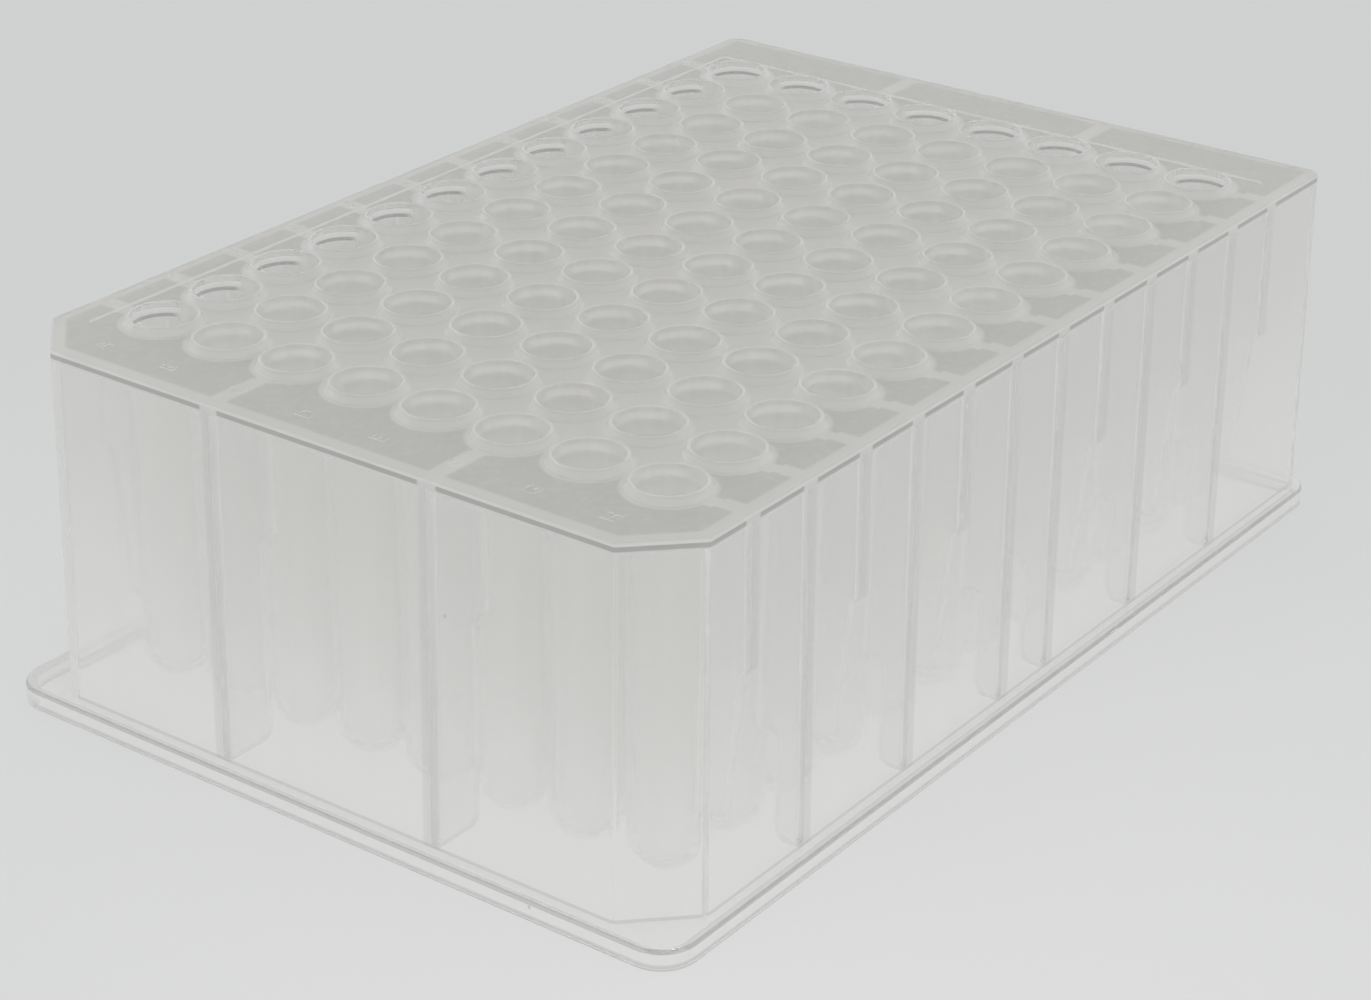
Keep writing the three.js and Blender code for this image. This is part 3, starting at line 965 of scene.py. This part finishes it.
def tint_surface(tree, masks):
    """Colour of the plastic's surface: what passes through each face and scatters from it, with
    painted light and shade laid over it.
    """
    plastic = bpy.context.scene.well_plate.plastic
    # The noise lies round its middle, so only that part of it makes streaks
    streaks = blend(tree, fade(tree, masks["streaks"], 0.35, 0.3), plastic.streak_tint, (1, 1, 1))
    # Painted light and shade: lighter towards the foot, as if lit from below, and darker towards
    # the deck
    body = blend(tree, masks["wall height"], plastic.low_tint, plastic.tint)
    body = blend(tree, plastic.wall_streaks, body, streaks, "MULTIPLY")
    # Painted light and shade in the wells: lighter towards the foot and darker just under the rims
    bore = blend(tree, masks["bore height"], plastic.low_tint, plastic.bore_tint)
    bore = blend(tree, masks["mouth"], bore, plastic.mouth_shade)
    bore = blend(tree, 1.0, bore, streaks, "MULTIPLY")
    # These tints lay painted shade on the deck, the thin deck over the hollows, the line under the
    # deck's edge, the skirt over the webs, the foot's lines and the rims; the bores bring their
    # painted gradient, the outer bores' far sides get painted light, and the specks are the
    # plastic's own
    for mask, tint in (
        ("deck", plastic.deck_tint), ("hollow", plastic.hollow_shade),
        ("edge", plastic.edge_shade), ("web", plastic.web_shade), ("foot", plastic.foot_line_shade),
        ("specks", plastic.speck_tint), ("bore", bore), ("outer side", plastic.tint),
        ("outer edge", plastic.edge_shade), ("rim", plastic.rim_shade),
    ):
        body = blend(tree, masks[mask], body, tint)
    return body


def make_plastic():
    """Natural polypropylene: a clear plastic with milk in it and a slightly rough skin."""
    plastic = bpy.context.scene.well_plate.plastic
    material = bpy.data.materials.new("milky_polypropylene")
    material.cycles.emission_sampling = "NONE"
    material.use_nodes = True
    tree = material.node_tree
    tree.nodes.clear()
    masks = surface_masks(tree, tree.nodes.new("ShaderNodeTexCoord").outputs)
    spread = 0.06
    uneven = calc(tree, "MULTIPLY_ADD", masks["mottle"], spread, plastic.roughness - spread / 2)
    rough = calc(tree, "MULTIPLY_ADD", masks["core"],
                 plastic.core_roughness - plastic.roughness, uneven)
    bump = add_node(tree, "ShaderNodeBump", Distance=plastic.bump, Height=masks["streaks"])
    # The letters and numbers glow a little: painted light
    shader = add_node(tree, "ShaderNodeBsdfPrincipled", Base_Color=tint_surface(tree, masks),
                      Roughness=rough, IOR=plastic.refraction,
                      Transmission_Weight=1 - plastic.haze, Emission_Strength=1,
                      Emission_Color=blend(tree, masks["mark"], (0, 0, 0), plastic.mark_light),
                      Normal=bump.outputs[0])

    # Light crosses the plate on its way to shadows and to hazy faces, so its inside is lit
    clear = add_node(tree, "ShaderNodeBsdfTransparent", Color=(*plastic.tint, 1))
    path = tree.nodes.new("ShaderNodeLightPath")
    seen = shader.outputs[0]
    for ray in ("Is Shadow Ray", "Is Diffuse Ray"):
        mixed = add_node(tree, "ShaderNodeMixShader", i0=path.outputs[ray], i1=seen,
                         i2=clear.outputs[0])
        seen = mixed.outputs[0]

    # Light that has scattered many times inside the plastic is even, so a glow stands for it
    milk = add_node(tree, "ShaderNodeVolumeAbsorption", Color=(0, 0, 0, 1),
                    Density=plastic.milkiness)
    glow = add_node(tree, "ShaderNodeEmission", Color=(*plastic.glow, 1),
                    Strength=plastic.milkiness)
    inside = add_node(tree, "ShaderNodeAddShader", i0=milk.outputs[0], i1=glow.outputs[0])
    add_node(tree, "ShaderNodeOutputMaterial", Surface=seen, Volume=inside.outputs[0])
    return material


def the_plastic():
    """The plastic, which is made when it is first asked for."""
    return bpy.data.materials.get("milky_polypropylene") or make_plastic()


# ---------------------------------------------------------------- operators

class WELLPLATE_OT_moulding(Operator):
    """Make the plate's one moulding: foot, skirt, deck, wells, ribs and marks"""
    bl_idname = "well_plate.moulding"
    bl_label = "Moulding"

    def execute(self, context):
        material = the_plastic()
        piece = smooth(make_moulding(material), SMOOTH_ANGLE)
        piece.name = "plate"
        dress(piece, material)
        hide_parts(NODE)
        return {"FINISHED"}


class WELLPLATE_OT_stage(Operator):
    """Make the floor, the soft surroundings and the camera"""
    bl_idname = "well_plate.stage"
    bl_label = "Stage"

    def execute(self, context):
        make_floor()
        make_surroundings()
        set_light_paths()
        make_camera()
        return {"FINISHED"}


class WELLPLATE_PT_pieces(Panel):
    """Lists the plate's pieces"""
    bl_label = "Well plate"
    bl_idname = "WELLPLATE_PT_pieces"
    bl_space_type = "VIEW_3D"
    bl_region_type = "UI"
    bl_category = "Well plate"

    def draw(self, context):
        for operator in OPERATORS:
            self.layout.operator(operator.bl_idname)


# ---------------------------------------------------------------- the stage

def make_floor():
    """Pale floor, lit partly from below like a light table, with a painted pool of light that greys
    further off.
    """
    stage = bpy.context.scene.well_plate.stage
    half = 2.0
    z = -0.05 * MM  # just under the foot, so that the two don't flicker
    from_pool = (0.06, 0.05, 0)  # from the middle of the pale pool of light to the plate's
    patch_scale = 12.0
    patch_shift = 0.04
    floor = new_object("floor", [(-half, -half, z), (half, -half, z), (half, half, z),
                                 (-half, half, z)], [[0, 1, 2, 3]])
    material = bpy.data.materials.new("floor")
    material.use_nodes = True
    tree = material.node_tree
    tree.nodes.clear()
    place = tree.nodes.new("ShaderNodeTexCoord").outputs["Object"]
    shifted = add_node(tree, "ShaderNodeMapping", Vector=place, Location=from_pool)
    distance = add_node(tree, "ShaderNodeVectorMath", {"operation": "LENGTH"},
                        i0=shifted.outputs[0]).outputs["Value"]
    patches = add_node(tree, "ShaderNodeTexNoise", Vector=place, Scale=patch_scale, Detail=2.0)
    uneven = calc(tree, "MULTIPLY_ADD", patches.outputs[0], patch_shift, distance)
    far = fade(tree, uneven, 0.0, stage.floor_reach)
    shade = blend(tree, far, stage.pool_floor, stage.floor_past_pool)
    paint = add_node(tree, "ShaderNodeBsdfDiffuse", Color=shade)
    lit = add_node(tree, "ShaderNodeEmission", Color=shade)
    mixed = add_node(tree, "ShaderNodeMixShader", i0=stage.floor_glow, i1=paint.outputs[0],
                     i2=lit.outputs[0])
    add_node(tree, "ShaderNodeOutputMaterial", Surface=mixed.outputs[0])
    material.cycles.emission_sampling = "NONE"
    floor.data.materials.append(material)


def make_surroundings():
    """Even light from all round, and a backdrop pale at table height and dimmer overhead."""
    stage = bpy.context.scene.well_plate.stage
    world = bpy.data.worlds.new("studio")
    bpy.context.scene.world = world
    world.use_nodes = True
    world.cycles.sampling_method = "NONE"
    tree = world.node_tree
    direction = tree.nodes.new("ShaderNodeTexCoord").outputs["Generated"]
    height = add_node(tree, "ShaderNodeSeparateXYZ", Vector=direction).outputs["Z"]
    sky = blend(tree, fade(tree, height, 0.2, 0.6), stage.horizon, stage.zenith)
    # What the camera, glossy faces and the clear plastic see is the backdrop; the rest is light
    path = tree.nodes.new("ShaderNodeLightPath").outputs
    shown = calc(tree, "MAXIMUM", path["Is Camera Ray"],
                 calc(tree, "MAXIMUM", path["Is Glossy Ray"], path["Is Transmission Ray"]))
    seen = blend(tree, shown, stage.light, sky)
    tree.links.new(seen, tree.nodes["Background"].inputs["Color"])


def set_light_paths():
    """Lets light cross the many thin walls that lie behind one another."""
    cycles = bpy.context.scene.cycles
    cycles.max_bounces = 20
    cycles.transmission_bounces = 20
    cycles.transparent_max_bounces = 64


def make_camera():
    """Camera with a long lens, a little above the plate and off its bevelled end."""
    azimuth = math.radians(-53.153)
    elevation = math.radians(25.681)
    roll = math.radians(0.379)
    target = Vector((-19.56, -5.80, 20.41)) * MM
    distance = 332.8 * MM
    camera = bpy.data.cameras.new("camera")
    camera.sensor_width = 36
    camera.lens = 84.63
    camera.shift_x = 0.0332
    camera.clip_start = 0.01
    camera.clip_end = 20
    back = Vector((math.sin(azimuth) * math.cos(elevation),
                   -math.cos(azimuth) * math.cos(elevation), math.sin(elevation)))
    right = Vector((math.cos(azimuth), math.sin(azimuth), 0))
    up = back.cross(right)
    tilted_right = right * math.cos(roll) + up * math.sin(roll)
    tilted_up = up * math.cos(roll) - right * math.sin(roll)
    holder = bpy.data.objects.new("camera", camera)
    holder.matrix_world = Matrix((
        (tilted_right.x, tilted_up.x, back.x, 0),
        (tilted_right.y, tilted_up.y, back.y, 0),
        (tilted_right.z, tilted_up.z, back.z, 0),
        (0, 0, 0, 1),
    ))
    holder.location = target + back * distance
    bpy.context.scene.collection.objects.link(holder)
    bpy.context.scene.camera = holder


# ---------------------------------------------------------------- registration

OPERATORS = (WELLPLATE_OT_moulding, WELLPLATE_OT_stage)
CLASSES = (
    WellGridSettings, ShellSettings, WellSettings, RibSettings, MarkSettings,
    PlasticSettings, StageSettings, WellPlateSettings, *OPERATORS, WELLPLATE_PT_pieces,
)


def register():
    for item in CLASSES:
        bpy.utils.register_class(item)
    bpy.types.Scene.well_plate = PointerProperty(type=WellPlateSettings)


def unregister():
    del bpy.types.Scene.well_plate
    for item in reversed(CLASSES):
        bpy.utils.unregister_class(item)


def main():
    register()
    bpy.context.scene.view_settings.view_transform = "Standard"
    bpy.ops.well_plate.moulding()
    bpy.ops.well_plate.stage()


if __name__ == "__main__":
    main()
